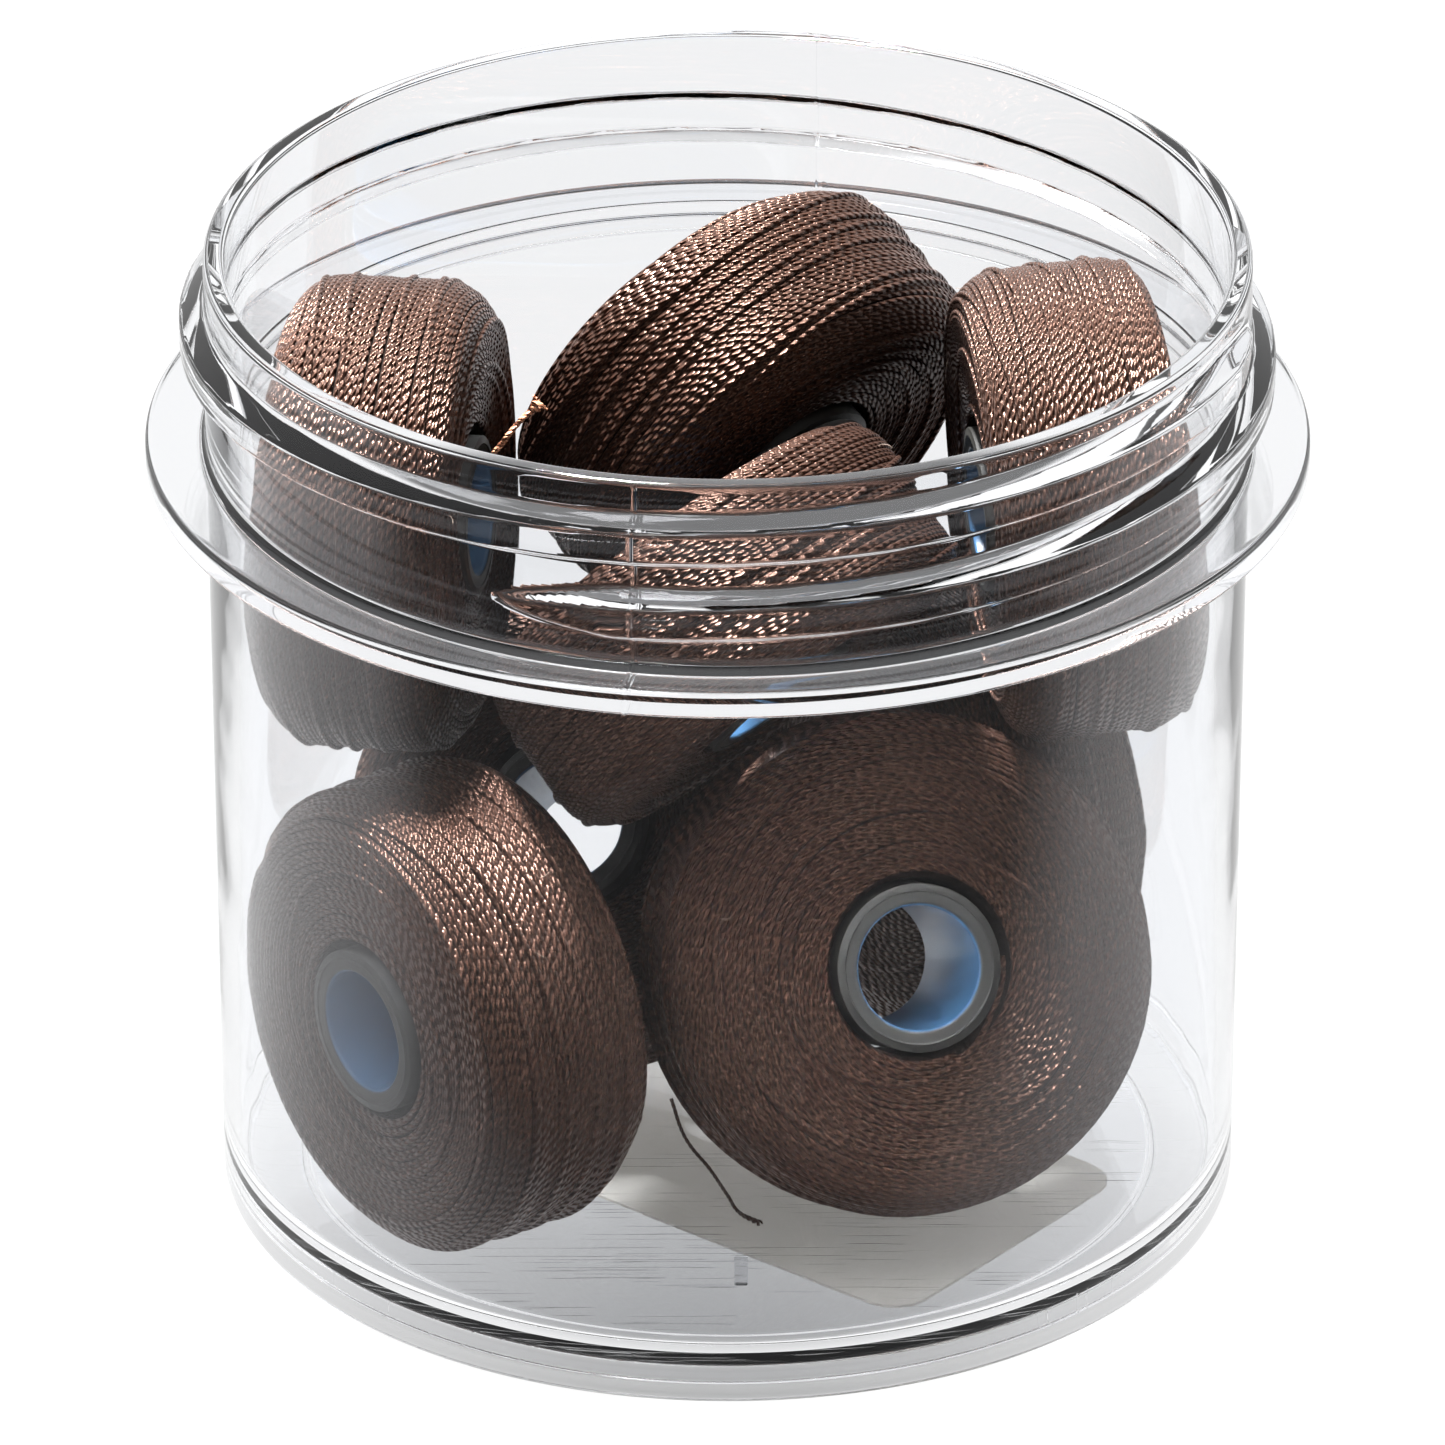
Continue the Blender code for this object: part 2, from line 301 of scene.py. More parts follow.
jar_shape = jar_mesh()
add_tick(jar_shape)
jar = add_object("jar_clear", jar_shape, moulded_polystyrene())
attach(jar, "jar")
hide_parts("jar")


# ---------------------------------------------------------------------------------------------
# The base label: a rounded rectangle of uncoated paper, stuck in the recess under the base and
# seen through the floor from its gummed back. It is left blank.
# ---------------------------------------------------------------------------------------------
def label_paper():
    """Uncoated label paper: pale warm grey with faint fibre cloud and gum mottle, matt, and thin
    enough for the surface under the jar to glow through it."""
    mat, tree = new_material("uncoated label paper")
    place = add(tree, "ShaderNodeTexCoord").outputs["Object"]
    cloud = add(tree, "ShaderNodeTexNoise", {"Vector": place, "Scale": 900.0, "Detail": 5.0})
    gum = add(tree, "ShaderNodeTexNoise", {"Vector": place, "Scale": 120.0, "Detail": 2.0})
    both = add(tree, MATHS, {0: cloud, 1: gum}, operation="ADD")
    tone = add(tree, "ShaderNodeMapRange", {"Value": both, "From Min": 0.6, "From Max": 1.4})
    colour = add(tree, "ShaderNodeMix", {0: tone, 6: linear("#e6e2da"), 7: linear("#f2eee8")},
                 data_type="RGBA")
    fibres = add(tree, "ShaderNodeBump", {"Height": cloud, "Strength": 0.3, "Distance": 0.03 * MM})
    shader = add(tree, "ShaderNodeBsdfPrincipled", {
        "Base Color": colour.outputs[2], "Roughness": 0.85, "Transmission Weight": 0.85, "Normal": fibres})
    finish_material(tree, shader)
    return mat


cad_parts["base_label"].data.materials.clear()
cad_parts["base_label"].data.materials.append(label_paper())


# ---------------------------------------------------------------------------------------------
# The bobbin cores: short extruded tubes of blue-grey plastic with cut ends, a fine lip on each
# end face and a bore that goes over the bobbin case's pin. The thread is wound straight on them.
# ---------------------------------------------------------------------------------------------
BOBBINS = range(1, 9)
CORE_BORE_RADIUS = 3.2
CORE_RADIUS = 4.35
CORE_LIP_RADIUS = 3.95
CORE_LIP = 0.05
CORE_CHAMFER = 0.2
CORE_STEPS = 96


def bobbin_place(number):
    """Where a bobbin lies, as a matrix with its axis along Z, and its radius and width in mm."""
    def corners(node):
        return np.array([v.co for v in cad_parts[node].data.vertices])

    core = corners(f"bobbin_{number}_core")
    spread = np.linalg.eigh(np.cov((core - core.mean(0)).T))
    axis = spread[1][:, -1]
    if axis[1] > 0:
        axis = -axis
    along = core @ axis
    middle = core.mean(0) + axis * ((along.max() + along.min()) / 2 - core.mean(0) @ axis)
    wound = corners(f"bobbin_{number}_thread") - middle
    off_axis = np.linalg.norm(wound - np.outer(wound @ axis, axis), axis=1)
    turn = Vector(axis).to_track_quat("Z", "Y").to_matrix().to_4x4()
    width = (along.max() - along.min()) / MM
    return Matrix.Translation(Vector(middle)) @ turn, off_axis.max() / MM, width


def lathe(name, outline, steps, closed=False):
    angles = np.linspace(0, math.tau, steps, endpoint=False)
    rings = [[(r * math.cos(a), r * math.sin(a), z) for a in angles] for r, z in outline]
    return turned_mesh(name, np.array(rings), closed)


def core_outline(half):
    """Closed outline of the tube: one end face, the bore, the other end face, the outside."""
    top = [(CORE_RADIUS, half - 0.05), (CORE_RADIUS - 0.05, half)]
    top += arc(CORE_LIP_RADIUS, half, CORE_LIP, 0, 180, 4)
    top += run((CORE_LIP_RADIUS - CORE_LIP, half), (CORE_BORE_RADIUS + CORE_CHAMFER, half), 0.04)
    top += arc(CORE_BORE_RADIUS + CORE_CHAMFER, half - CORE_CHAMFER, CORE_CHAMFER, 90, 180, 4)
    return top + [(r, -z) for r, z in reversed(top)]


def mark_bore(mesh):
    """Keeps, at each corner, how far it is inside the bore: 1 on the bore, 0 on the end face."""
    mark = mesh.attributes.new("bore", "FLOAT", "POINT")
    radii = [math.hypot(v.co.x, v.co.y) / MM for v in mesh.vertices]
    mark.data.foreach_set("value", [1.0 if r < CORE_BORE_RADIUS + 0.5 * CORE_CHAMFER else 0.0 for r in radii])


def extruded_core_plastic():
    """Filled polypropylene, extruded and sawn: satin steel-blue in the bore, and the sawn ends
    duller and painted near-black olive charcoal as shade, with a fine speckle all over."""
    mat, tree = new_material("extruded blue-grey polypropylene")
    place = add(tree, "ShaderNodeTexCoord").outputs["Object"]
    bore = add(tree, "ShaderNodeAttribute", attribute_name="bore").outputs["Fac"]
    specks = add(tree, "ShaderNodeTexNoise", {"Vector": place, "Scale": 2500.0, "Detail": 3.0})
    cloud = add(tree, "ShaderNodeTexNoise", {"Vector": place, "Scale": 350.0, "Detail": 2.0})
    blue = add(tree, "ShaderNodeMix", {0: cloud, 6: linear("#28425c"), 7: linear("#345370")},
               data_type="RGBA")
    # Painted shade: the end faces take a near-black colour, far darker than the same plastic in the bore.
    ends = add(tree, "ShaderNodeMix", {0: specks, 6: linear("#0f0f0d"), 7: linear("#181714")},
               data_type="RGBA")
    colour = add(tree, "ShaderNodeMix", {0: bore, 6: ends.outputs[2], 7: blue.outputs[2]}, data_type="RGBA")
    rough = add(tree, "ShaderNodeMapRange", {"Value": bore, "To Min": 0.5, "To Max": 0.3})
    grain = add(tree, "ShaderNodeBump", {"Height": specks, "Strength": 0.25, "Distance": 0.02 * MM})
    shader = add(tree, "ShaderNodeBsdfPrincipled", {
        "Base Color": colour.outputs[2], "Roughness": rough, "IOR": 1.5, "Specular IOR Level": 0.3,
        "Normal": grain})
    finish_material(tree, shader)
    return mat


core_plastic = extruded_core_plastic()
places = {number: bobbin_place(number) for number in BOBBINS}
for number, (place, wound_radius, width) in places.items():
    mesh = lathe(f"bobbin_{number}_tube", core_outline(width / 2), CORE_STEPS, closed=True)
    mark_bore(mesh)
    mesh.transform(place)
    core = add_object(f"bobbin_{number}_tube", mesh, core_plastic)
    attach(core, f"bobbin_{number}")
    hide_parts(f"bobbin_{number}_core")


# ---------------------------------------------------------------------------------------------
# The windings: one long glossy polyester thread on each core, laid turn beside turn over the
# faces, shoulders and side, with a few last turns that cross over them at a slant, and lint.
# ---------------------------------------------------------------------------------------------
THREAD_RADIUS = 0.155
PLY_TWIST = 0.7 * MM
TURN_PITCH = 0.262
STEPS_PER_TURN = 72
SHOULDER_RADIUS = 2.4
FACE_SINK = 0.3
WINDING_BORE = 4.4
BODY_STEPS = 96
SLANT = 0.06
CROSSING_SLANT = 1.1
CROSSING_TURNS = {1: 15, 2: 12, 3: 12, 4: 12, 5: 12, 6: 8, 7: 9, 8: 8}
DRIFT_PER_TURN = 0.35
TREMBLE_PER_TURN = 5.0
TREMBLE = 0.16
UNEVENNESS = 0.12
LINT_DENSITY = 4000.0
LINT_RADIUS = 0.016
LINT_BEND = 0.6


def winding_outline(radius, half, inset):
    """From the lower face's inner edge, out and round to the upper face's, sunk by inset."""
    turn_r = radius - SHOULDER_RADIUS
    turn_z = half - SHOULDER_RADIUS
    inner = (WINDING_BORE + inset, half - FACE_SINK - inset)
    to_side = arc(turn_r, turn_z, SHOULDER_RADIUS - inset, 90, 0, 10)
    upward = [inner] + to_side
    return [(r, -z) for r, z in upward] + upward[::-1]


def outline_guide(name, outline):
    """The winding's section as a curve in the XZ plane, for the turns to follow."""
    curve = bpy.data.curves.new(name, "CURVE")
    curve.dimensions = "3D"
    spline = curve.splines.new("POLY")
    spline.points.add(len(outline) - 1)
    for point, (r, z) in zip(spline.points, outline):
        point.co = (r * MM, 0.0, z * MM, 1.0)
    return add_object(name, curve)


def tubes_along(tree, curve, radius, sides, mat):
    """Round thread along a curve, which keeps how far along and which way round it is."""
    length = add(tree, "GeometryNodeSplineParameter").outputs["Length"]
    marked = add(tree, "GeometryNodeStoreNamedAttribute",
                 {"Geometry": curve, "Name": "along", "Value": length}, data_type="FLOAT", domain="POINT")
    ring = add(tree, "GeometryNodeCurvePrimitiveCircle", {"Resolution": sides, "Radius": radius})
    way = add(tree, VECTOR, {0: add(tree, "GeometryNodeInputPosition")}, operation="NORMALIZE")
    round_marked = add(tree, "GeometryNodeStoreNamedAttribute",
                       {"Geometry": ring, "Name": "around", "Value": way},
                       data_type="FLOAT_VECTOR", domain="POINT")
    tube = add(tree, "GeometryNodeCurveToMesh",
               {"Curve": marked, "Profile Curve": round_marked, "Fill Caps": True})
    smooth = add(tree, "GeometryNodeSetShadeSmooth", {"Geometry": tube, "Shade Smooth": True})
    return add(tree, "GeometryNodeSetMaterial", {"Geometry": smooth, "Material": mat})


def wound_turns(tree, inputs, turns, slant, lift, offset):
    """A curve that goes round the axis while it moves along the outline, turn beside turn."""
    outline = inputs["Outline curve"]
    count = add(tree, MATHS, {0: turns, 1: inputs["Steps per turn"]}, operation="MULTIPLY")
    line = add(tree, "GeometryNodeCurvePrimitiveLine")
    path = add(tree, "GeometryNodeResampleCurve", {"Curve": line, "Count": count})
    share = add(tree, "GeometryNodeSplineParameter").outputs["Factor"]
    wound = add(tree, MATHS, {0: share, 1: turns}, operation="MULTIPLY")
    angle = add(tree, MATHS, {0: wound, 1: math.tau}, operation="MULTIPLY")
    seed = add(tree, MATHS, {0: inputs["Seed"], 1: offset}, operation="ADD")
    slow = add(tree, MATHS, {0: wound, 1: DRIFT_PER_TURN, 2: seed}, operation="MULTIPLY_ADD")
    quick = add(tree, MATHS, {0: wound, 1: TREMBLE_PER_TURN, 2: seed}, operation="MULTIPLY_ADD")
    drift = add(tree, "ShaderNodeTexNoise", {"W": slow, "Scale": 1.0, "Detail": 1.0}, noise_dimensions="1D")
    tremble = add(tree, "ShaderNodeTexNoise", {"W": quick, "Scale": 1.0, "Detail": 2.0},
                  noise_dimensions="1D")
    phase = add(tree, MATHS, {0: drift, 1: 9.0, 2: angle}, operation="MULTIPLY_ADD")
    wave = add(tree, MATHS, {0: phase}, operation="SINE")
    swing = add(tree, MATHS, {0: wave, 1: slant}, operation="MULTIPLY")
    shake = add(tree, MATHS, {0: tremble, 1: 0.5}, operation="SUBTRACT")
    shifted = add(tree, MATHS, {0: shake, 1: TREMBLE * MM, 2: swing}, operation="MULTIPLY_ADD")
    reach = add(tree, "GeometryNodeCurveLength", {"Curve": outline})
    shift = add(tree, MATHS, {0: shifted, 1: reach}, operation="DIVIDE")
    spread = add(tree, MATHS, {0: share, 1: 0.97, 2: 0.015}, operation="MULTIPLY_ADD")
    along = add(tree, MATHS, {0: spread, 1: shift}, operation="ADD")
    sample = add(tree, "GeometryNodeSampleCurve", {"Curves": outline, "Factor": along}, mode="FACTOR")
    outward = add(tree, VECTOR, {0: (0.0, 1.0, 0.0), 1: sample.outputs["Tangent"]}, operation="CROSS_PRODUCT")
    centred = add(tree, MATHS, {0: drift, 1: 0.5}, operation="SUBTRACT")
    rise = add(tree, MATHS, {0: centred, 1: UNEVENNESS * MM, 2: lift}, operation="MULTIPLY_ADD")
    lifted = add(tree, VECTOR, {0: outward, "Scale": rise}, operation="SCALE")
    point = add(tree, VECTOR, {0: sample.outputs["Position"], 1: lifted}, operation="ADD")
    turned = add(tree, "ShaderNodeVectorRotate", {"Vector": point, "Axis": (0.0, 0.0, 1.0), "Angle": angle})
    return add(tree, "GeometryNodeSetPosition", {"Geometry": path, "Position": turned})


def new_geometry_tree(name, fields):
    """A geometry tree with named inputs after its geometry; gives the tree and its input sockets."""
    tree = bpy.data.node_groups.new(name, "GeometryNodeTree")
    face = tree.interface
    face.new_socket("Geometry", in_out="INPUT", socket_type="NodeSocketGeometry")
    for field, kind in fields.items():
        face.new_socket(field, in_out="INPUT", socket_type=f"NodeSocket{kind}")
    face.new_socket("Geometry", in_out="OUTPUT", socket_type="NodeSocketGeometry")
    start = tree.nodes.new("NodeGroupInput")
    return tree, {socket.name: socket for socket in start.outputs}


def join_and_finish(tree, *parts):
    joined = add(tree, "GeometryNodeJoinGeometry")
    for part in parts:
        tree.links.new(part.outputs[0], joined.inputs[0])
    real = add(tree, "GeometryNodeRealizeInstances", {"Geometry": joined})
    add(tree, "NodeGroupOutput", {"Geometry": real})


def winding_tree():
    tree, inputs = new_geometry_tree("thread winding", {
        "Outline": "Object", "Turns": "Float", "Crossing turns": "Float", "Steps per turn": "Int",
        "Thread radius": "Float", "Slant": "Float", "Crossing slant": "Float", "Seed": "Float",
        "Lint density": "Float", "Thread": "Material", "Inner thread": "Material", "Lint": "Material"})
    guide = add(tree, "GeometryNodeObjectInfo", {"Object": inputs["Outline"]})
    inputs["Outline curve"] = guide.outputs["Geometry"]
    # The body under the turns takes the painted gap shade: a near-black sheet where the gaps between turns
    # are in shade.
    ground = add(tree, "GeometryNodeSetMaterial", {"Geometry": inputs["Geometry"],
                                                   "Material": inputs["Inner thread"]})
    even = wound_turns(tree, inputs, inputs["Turns"], inputs["Slant"], 0.0, 0.0)
    crossing = wound_turns(tree, inputs, inputs["Crossing turns"], inputs["Crossing slant"],
                           inputs["Thread radius"], 7.3)
    laid = tubes_along(tree, even, inputs["Thread radius"], 6, inputs["Thread"])
    over = tubes_along(tree, crossing, inputs["Thread radius"], 6, inputs["Thread"])
    spots = add(tree, "GeometryNodeDistributePointsOnFaces",
                {"Mesh": laid, "Density": inputs["Lint density"], "Seed": 4})
    fibre = add(tree, "GeometryNodeCurveArc", {"Resolution": 8, "Radius": LINT_BEND * MM,
                                               "Sweep Angle": 2.6})
    lint = tubes_along(tree, fibre.outputs[0], LINT_RADIUS * MM, 3, inputs["Lint"])
    sown = add(tree, "GeometryNodeInstanceOnPoints", {
        "Points": spots.outputs["Points"], "Instance": lint, "Rotation": spots.outputs["Rotation"]})
    spin = add(tree, "ShaderNodeTexWhiteNoise", {"Vector": add(tree, "GeometryNodeInputPosition")},
               noise_dimensions="3D").outputs["Color"]
    twirl = add(tree, VECTOR, {0: spin, 1: (1.2, 1.2, 6.28)}, operation="MULTIPLY")
    turned = add(tree, "GeometryNodeRotateInstances", {"Instances": sown, "Rotation": twirl})
    size = add(tree, VECTOR, {0: spin, 1: (0.3, 0.3, 0.3)}, operation="ADD")
    sized = add(tree, "GeometryNodeScaleInstances", {"Instances": turned, "Scale": size})
    join_and_finish(tree, ground, laid, over, sized)
    return tree


def grown(obj, tree, values):
    """The object's shape after the tree, as a plain mesh without the modifier."""
    modifier = obj.modifiers.new("make", "NODES")
    modifier.node_group = tree
    for item in tree.interface.items_tree:
        if item.in_out == "INPUT" and item.name in values:
            modifier[item.identifier] = values[item.name]
    bpy.context.view_layer.update()
    seen = obj.evaluated_get(bpy.context.evaluated_depsgraph_get())
    mesh = bpy.data.meshes.new_from_object(seen)
    bpy.data.objects.remove(obj)
    return mesh


def polyester_thread(name, groove_shade_colour, lit_colours):
    """Trilobal polyester thread, two plies twisted: dark brown, with a copper glint where each
    ply turns to the light, and painted shade, a darker colour, in the grooves between the plies. The ply
    twist is drawn at 0.7 mm, a little coarser than real."""
    mat, tree = new_material(name)
    along = add(tree, "ShaderNodeAttribute", attribute_name="along").outputs["Fac"]
    around = add(tree, "ShaderNodeAttribute", attribute_name="around").outputs["Vector"]
    way = add(tree, "ShaderNodeSeparateXYZ", {"Vector": around})
    across, up = way.outputs["X"], way.outputs["Y"]
    stretch = add(tree, MATHS, {0: along, 1: 2.5 * MM}, operation="DIVIDE")
    drift = add(tree, "ShaderNodeTexNoise", {"W": stretch, "Scale": 1.0, "Detail": 1.0},
                noise_dimensions="1D")
    twist = add(tree, MATHS, {0: along, 1: math.tau / PLY_TWIST}, operation="MULTIPLY")
    turn = add(tree, MATHS, {0: drift, 1: 6.0, 2: twist}, operation="MULTIPLY_ADD")
    up_square = add(tree, MATHS, {0: up, 1: up}, operation="MULTIPLY")
    double_cos = add(tree, MATHS, {0: across, 1: across, 2: up_square}, operation="MULTIPLY_ADD")
    double_cos = add(tree, MATHS, {0: up_square, 1: -2.0, 2: double_cos}, operation="MULTIPLY_ADD")
    half_sin = add(tree, MATHS, {0: across, 1: up}, operation="MULTIPLY")
    double_sin = add(tree, MATHS, {0: half_sin, 1: 2.0}, operation="MULTIPLY")
    sine = add(tree, MATHS, {0: turn}, operation="SINE")
    cosine = add(tree, MATHS, {0: turn}, operation="COSINE")
    sine_part = add(tree, MATHS, {0: sine, 1: double_sin}, operation="MULTIPLY")
    ply = add(tree, MATHS, {0: cosine, 1: double_cos, 2: sine_part}, operation="MULTIPLY_ADD")
    place = add(tree, "ShaderNodeTexCoord").outputs["Object"]
    filament = add(tree, "ShaderNodeTexNoise", {"Vector": place, "Scale": 9000.0, "Detail": 1.0})
    patches = add(tree, "ShaderNodeTexNoise", {"Vector": place, "Scale": 260.0, "Detail": 3.0})
    # Painted shade: the grooves between the plies take a darker colour than the lit crests.
    painted_groove_shade = add(tree, "ShaderNodeMapRange", {"Value": ply, "From Min": -0.9, "From Max": 0.4})
    lit = add(tree, "ShaderNodeMix", {0: patches, 6: linear(lit_colours[0]), 7: linear(lit_colours[1])},
              data_type="RGBA")
    colour = add(tree, "ShaderNodeMix", {0: painted_groove_shade, 6: linear(groove_shade_colour), 7: lit.outputs[2]},
                 data_type="RGBA")
    plies = add(tree, "ShaderNodeBump", {"Height": ply, "Strength": 1.0, "Distance": 0.07 * MM})
    hairs = add(tree, "ShaderNodeBump", {"Height": filament, "Strength": 0.35, "Distance": 0.04 * MM,
                                         "Normal": plies})
    shader = add(tree, "ShaderNodeBsdfPrincipled", {
        "Base Color": colour.outputs[2], "Roughness": 0.34, "IOR": 1.55, "Specular IOR Level": 0.34,
        "Specular Tint": linear("#ffbfa2"), "Sheen Weight": 0.05, "Sheen Roughness": 0.4,
        "Sheen Tint": linear("#c9a79a"), "Normal": hairs})
    finish_material(tree, shader)
    return mat


def gap_shade_thread():
    """The thread under the outer turns, seen only in the gaps: matt, and painted near black as the gaps'
    shade.
    """
    mat, tree = new_material("thread in the gaps, painted near black as shade")
    place = add(tree, "ShaderNodeTexCoord").outputs["Object"]
    strands = add(tree, "ShaderNodeTexNoise", {"Vector": place, "Scale": 3000.0, "Detail": 2.0})
    colour = add(tree, "ShaderNodeMix", {0: strands, 6: linear("#040201"), 7: linear("#0b0604")},
                 data_type="RGBA")
    rough = add(tree, "ShaderNodeBump", {"Height": strands, "Strength": 0.8, "Distance": 0.08 * MM})
    shader = add(tree, "ShaderNodeBsdfPrincipled", {
        "Base Color": colour.outputs[2], "Roughness": 0.8, "Specular IOR Level": 0.03, "Normal": rough})
    finish_material(tree, shader)
    return mat


def lint_fibre():
    """Loose cotton and polyester dust: pale and matt."""
    mat, tree = new_material("pale lint")
    place = add(tree, "ShaderNodeTexCoord").outputs["Object"]
    tone = add(tree, "ShaderNodeTexNoise", {"Vector": place, "Scale": 400.0})
    colour = add(tree, "ShaderNodeMix", {0: tone, 6: linear("#6d5a4d"), 7: linear("#a8998c")},
                 data_type="RGBA")
    shader = add(tree, "ShaderNodeBsdfPrincipled", {"Base Color": colour.outputs[2], "Roughness": 0.8})
    finish_material(tree, shader)
    return mat


thread = polyester_thread("twisted glossy polyester thread", "#0a0504", ("#170d09", "#23140e"))
painted_gap_shade = gap_shade_thread()
lint = lint_fibre()
winder = winding_tree()
for number, (place, wound_radius, width) in places.items():
    outline = winding_outline(wound_radius, width / 2, THREAD_RADIUS)
    guide = outline_guide(f"bobbin_{number}_section", outline)
    length = sum((Vector(b) - Vector(a)).length for a, b in zip(outline, outline[1:]))
    body = lathe(f"bobbin_{number}_ground", winding_outline(wound_radius, width / 2, 1.5 * THREAD_RADIUS),
                 BODY_STEPS, closed=True)
    host = add_object(f"bobbin_{number}_ground", body)
    mesh = grown(host, winder, {
        "Outline": guide, "Turns": length / TURN_PITCH, "Crossing turns": float(CROSSING_TURNS[number]),
        "Steps per turn": STEPS_PER_TURN, "Thread radius": THREAD_RADIUS * MM, "Slant": SLANT * MM,
        "Crossing slant": CROSSING_SLANT * MM, "Seed": 10.0 * number, "Lint density": LINT_DENSITY,
        "Thread": thread, "Inner thread": painted_gap_shade, "Lint": lint})
    bpy.data.objects.remove(guide)
    mesh.transform(place)
    winding = add_object(f"bobbin_{number}_winding", mesh)
    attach(winding, f"bobbin_{number}")
    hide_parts(f"bobbin_{number}_thread")


# ---------------------------------------------------------------------------------------------
# The free thread ends: the last bit of thread of two bobbins, two twisted plies that open into
# loose filaments at the cut tip.
# ---------------------------------------------------------------------------------------------
THREAD_ENDS = {
    2: ((-12.2, 1.4, 40.7), (-11.6, 1.2, 41.6), (-10.8, 1.4, 42.6), (-9.7, 1.9, 43.5)),
    7: ((-2.9, -14.3, 11.5), (-2.2, -14.6, 9.4), (-0.9, -14.3, 7.3),
        (0.0, -13.6, 5.4), (0.6, -12.9, 4.0), (1.7, -12.3, 3.0)),
}
TIP_SPREAD = {2: 0.5, 7: 0.12}
STRAND_RADIUS = {2: 0.075, 7: 0.05}
STRANDS = 6


def strand_tree():
    """Strands that twist round a path and open out over its last part."""
    tree, inputs = new_geometry_tree("twisted strands", {
        "Strand radius": "Float", "Twist": "Float", "Spread": "Float", "Thread": "Material"})
    parts = []
    for strand in range(STRANDS):
        path = add(tree, "GeometryNodeResampleCurve", {"Curve": inputs["Geometry"], "Count": 90})
        spot = add(tree, "GeometryNodeSplineParameter")
        tangent = add(tree, "GeometryNodeInputTangent")
        normal = add(tree, "GeometryNodeInputNormal")
        side = add(tree, VECTOR, {0: tangent, 1: normal}, operation="CROSS_PRODUCT")
        ply_turn = math.tau * (strand % 2) / 2 + 0.5 * (strand // 2)
        twisted = add(tree, MATHS, {0: spot.outputs["Length"], 1: inputs["Twist"]}, operation="DIVIDE")
        turn = add(tree, MATHS, {0: twisted, 1: ply_turn}, operation="ADD")
        opening = add(tree, "ShaderNodeMapRange", {
            "Value": spot.outputs["Factor"], "From Min": 0.78, "From Max": 1.0})
        eased = add(tree, MATHS, {0: opening, 1: 1.5}, operation="POWER")
        wide = add(tree, MATHS, {0: eased, 1: inputs["Spread"]}, operation="MULTIPLY")
        close = add(tree, MATHS, {0: inputs["Strand radius"], 1: 1.1}, operation="MULTIPLY")
        reach = add(tree, MATHS, {0: wide, 1: 0.4 + 0.2 * (strand // 2), 2: close}, operation="MULTIPLY_ADD")
        sine = add(tree, MATHS, {0: turn}, operation="SINE")
        cosine = add(tree, MATHS, {0: turn}, operation="COSINE")
        across = add(tree, VECTOR, {0: side, "Scale": sine}, operation="SCALE")
        outward = add(tree, VECTOR, {0: normal, "Scale": cosine}, operation="SCALE")
        way = add(tree, VECTOR, {0: across, 1: outward}, operation="ADD")
        offset = add(tree, VECTOR, {0: way, "Scale": reach}, operation="SCALE")
        moved = add(tree, "GeometryNodeSetPosition", {"Geometry": path, "Offset": offset})
        parts.append(tubes_along(tree, moved, inputs["Strand radius"], 6, inputs["Thread"]))
    join_and_finish(tree, *parts)
    return tree


strander = strand_tree()
# Painted light: bobbin 2's cut end is the same dark thread, painted much lighter as if the lamp shone through
# its opened filaments.
painted_lit_tail_thread = polyester_thread("cut thread end, painted lighter as if lit through", "#5b3526", ("#9c6a50", "#c08b6d"))
tail_thread = {2: painted_lit_tail_thread, 7: thread}
for number, points in THREAD_ENDS.items():
    curve = bpy.data.curves.new(f"bobbin_{number}_tail", "CURVE")
    curve.dimensions = "3D"
    spline = curve.splines.new("BEZIER")
    spline.bezier_points.add(len(points) - 1)
    for knot, point in zip(spline.bezier_points, points):
        knot.co = Vector(point) * MM
        knot.handle_left_type = knot.handle_right_type = "AUTO"
    host = add_object(f"bobbin_{number}_tail_path", curve)
    mesh = grown(host, strander, {
        "Strand radius": STRAND_RADIUS[number] * MM, "Twist": PLY_TWIST / math.tau,
        "Spread": TIP_SPREAD[number] * MM, "Thread": tail_thread[number]})
    tail = add_object(f"bobbin_{number}_tail", mesh)
    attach(tail, f"bobbin_{number}")
    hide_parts(f"bobbin_{number}_thread_end")


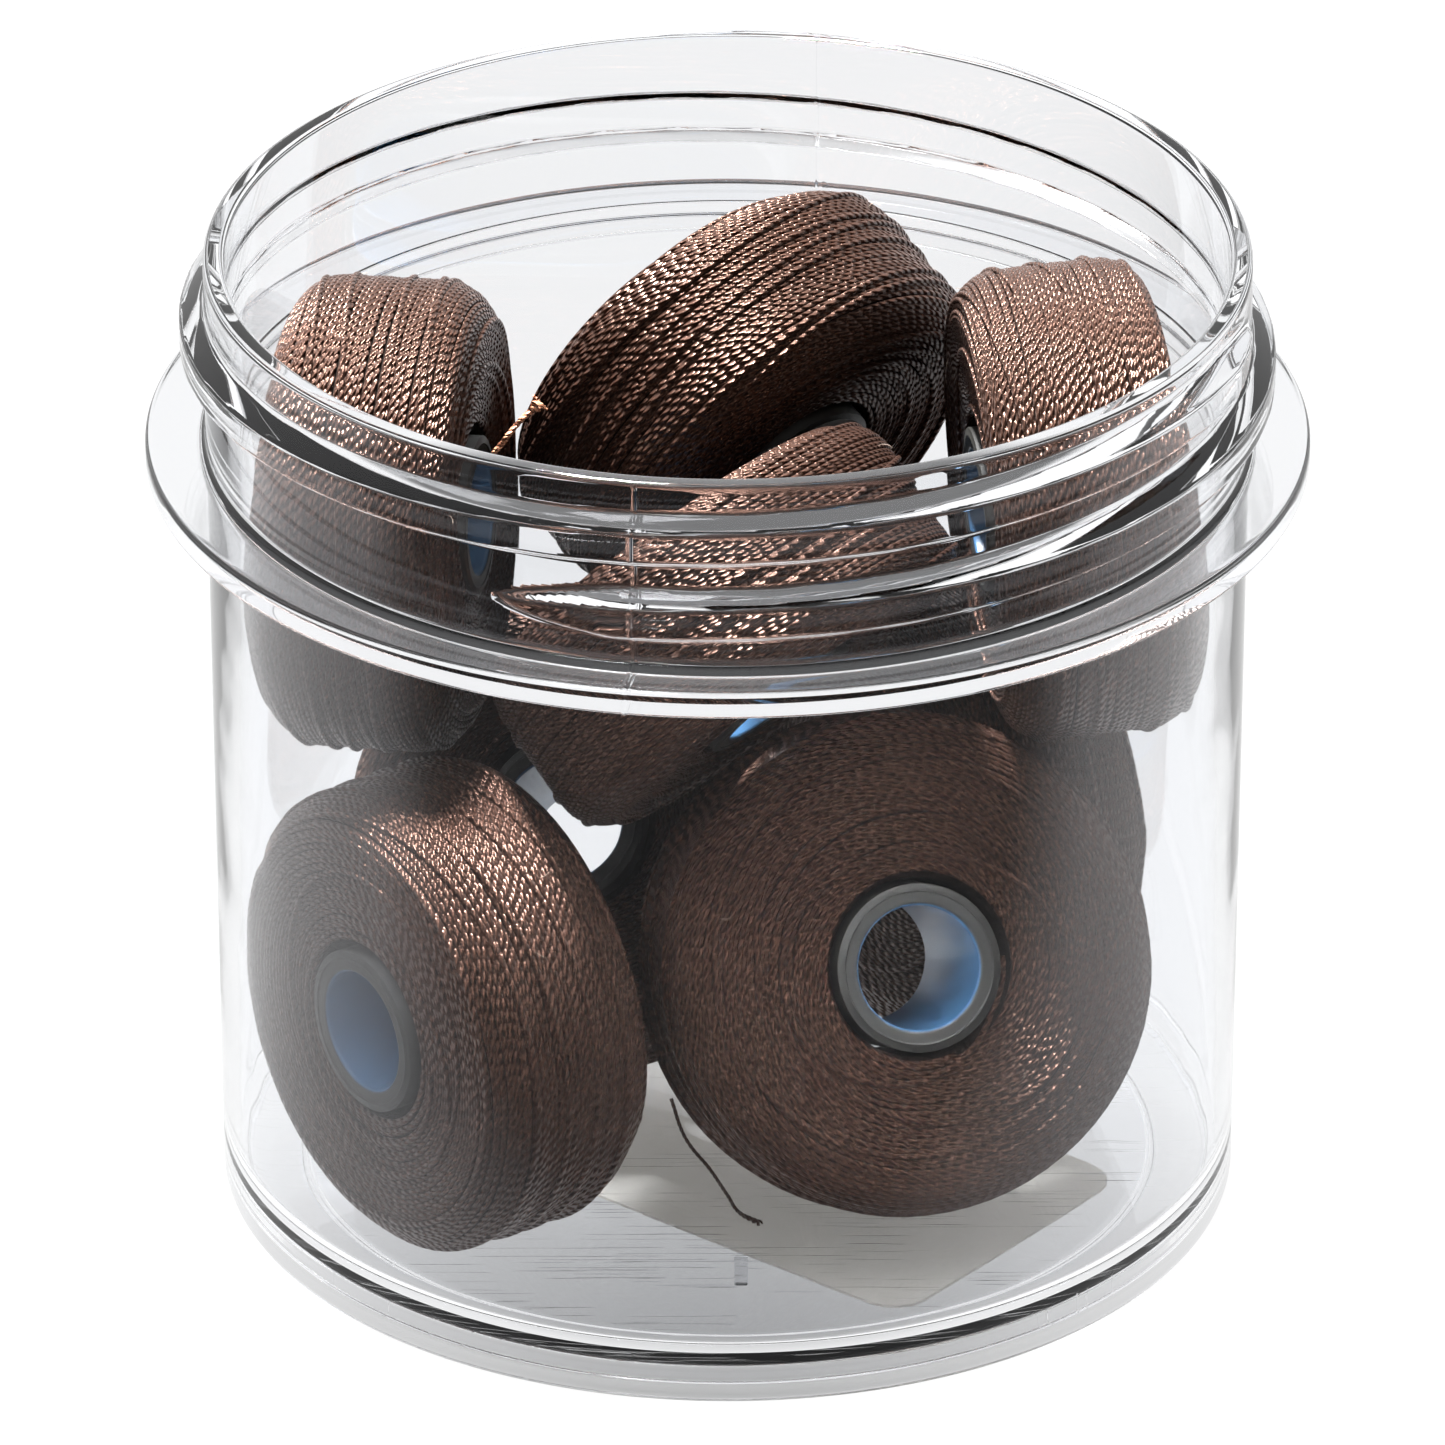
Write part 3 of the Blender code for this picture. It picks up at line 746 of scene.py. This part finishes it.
# ---------------------------------------------------------------------------------------------
# The floor, the light and the camera
# ---------------------------------------------------------------------------------------------
def pale_floor():
    """White to look at, and white in the jar's edges, which pipe light. Through the wall it is
    duller, with a painted soft shadow of the full jar in front, and in the wall's reflections it is
    painted dark in front as shade; it is only a weak light on the bobbins, so that the lamp keeps its
    contrast."""
    mat, tree = new_material("plain white floor")
    ray = add(tree, "ShaderNodeLightPath")
    place = add(tree, "ShaderNodeSeparateXYZ", {"Vector": add(tree, "ShaderNodeNewGeometry")})
    away = add(tree, VECTOR, {0: add(tree, "ShaderNodeNewGeometry"), 1: (0.0, -0.035, 0.0)},
               operation="DISTANCE").outputs["Value"]
    # Painted shadow: seen through the glass, the floor's glow drops in a soft round spot in front, as the
    # full jar's shade.
    through = add(tree, "ShaderNodeMapRange", {"Value": away, "From Min": 0.010, "From Max": 0.045,
                                               "To Min": 0.38, "To Max": 0.86})
    # Painted shade: in the wall's reflections the floor's glow is dark in front of the jar.
    mirrored_with_painted_shade = add(tree, "ShaderNodeMapRange", {"Value": place.outputs["Y"], "From Min": -0.043,
                                                "From Max": -0.022, "To Min": 0.06, "To Max": 0.86})
    once = add(tree, "ShaderNodeMath", {0: ray.outputs["Glossy Depth"], 1: 1.0, 2: 0.1}, operation="COMPARE")
    glass = add(tree, "ShaderNodeMix", {0: once, 2: through, 3: mirrored_with_painted_shade}, data_type="FLOAT")
    piped = add(tree, "ShaderNodeMath", {0: ray.outputs["Glossy Depth"], 1: 1.5}, operation="GREATER_THAN")
    edges = add(tree, "ShaderNodeMix", {0: piped, 2: glass, 3: 1.1}, data_type="FLOAT")
    open_view = add(tree, "ShaderNodeMix", {0: ray.outputs["Is Camera Ray"], 2: edges, 3: 1.0},
                    data_type="FLOAT")
    glow = add(tree, "ShaderNodeMix", {0: ray.outputs["Diffuse Depth"], 2: open_view, 3: 0.12},
               data_type="FLOAT")
    shader = add(tree, "ShaderNodeBsdfPrincipled", {
        "Base Color": linear("#141414"), "Roughness": 0.9, "Specular IOR Level": 0.0,
        "Emission Color": (1.0, 1.0, 1.0, 1.0), "Emission Strength": glow})
    finish_material(tree, shader)
    return mat


bm = bmesh.new()
bmesh.ops.create_grid(bm, x_segments=1, y_segments=1, size=4.0)
floor_mesh = bpy.data.meshes.new("floor")
bm.to_mesh(floor_mesh)
bm.free()
floor = add_object("floor", floor_mesh, pale_floor())


def area_light(name, place, target, size, power, colour="#ffffff"):
    data = bpy.data.lights.new(name, "AREA")
    data.shape = "RECTANGLE"
    data.size, data.size_y = size
    data.energy = power
    data.color = linear(colour)[:3]
    lamp = bpy.data.objects.new(name, data)
    bpy.context.scene.collection.objects.link(lamp)
    lamp.location = place
    lamp.rotation_euler = (Vector(target) - Vector(place)).to_track_quat("-Z", "Y").to_euler()
    return lamp


JAR_MIDDLE = (0.0, 0.0, 0.03)
area_light("key", (-0.12, 0.30, 0.85), JAR_MIDDLE, (0.11, 0.11), 125.0)
area_light("front_fill", (-0.7, -0.8, 0.7), JAR_MIDDLE, (0.8, 0.5), 0.3)

world = bpy.data.worlds.new("studio")
bpy.context.scene.world = world
world.use_nodes = True
world.node_tree.nodes.clear()
sky_way = add(world.node_tree, "ShaderNodeTexCoord").outputs["Generated"]
sky_depth = add(world.node_tree, "ShaderNodeSeparateXYZ", {"Vector": sky_way}).outputs["Y"]
sky_tone = add(world.node_tree, "ShaderNodeMapRange", {
    "Value": sky_depth, "From Min": -0.7, "From Max": 0.3, "To Min": 0.35, "To Max": 0.95})
sky_ray = add(world.node_tree, "ShaderNodeLightPath")
sky_mirrored = add(world.node_tree, MATHS, {0: sky_ray.outputs["Glossy Depth"], 1: 1.0, 2: 0.1},
                   operation="COMPARE")
sky_bounced = add(world.node_tree, MATHS, {0: sky_ray.outputs["Diffuse Depth"], 1: sky_mirrored},
                  operation="MAXIMUM")
sky_open = add(world.node_tree, MATHS, {0: 1.0, 1: sky_bounced}, operation="SUBTRACT")
sky_level = add(world.node_tree, "ShaderNodeMix", {0: sky_open, 2: sky_tone, 3: 0.95}, data_type="FLOAT")
sky = add(world.node_tree, "ShaderNodeBackground", {"Color": (1.0, 1.0, 1.0, 1.0), "Strength": sky_level})
add(world.node_tree, "ShaderNodeOutputWorld", {"Surface": sky})

camera_data = bpy.data.cameras.new("camera")
camera_data.lens = 406.0
camera_data.sensor_width = 36.0
camera_data.clip_end = 20.0
camera = bpy.data.objects.new("camera", camera_data)
bpy.context.scene.collection.objects.link(camera)
camera.location = (0.0, -0.7538, 0.4189)
aim = Vector((-0.00027, 0.0, 0.0258))
camera.rotation_euler = (aim - camera.location).to_track_quat("-Z", "Y").to_euler()
bpy.context.scene.camera = camera
bpy.context.scene.view_settings.view_transform = "Standard"
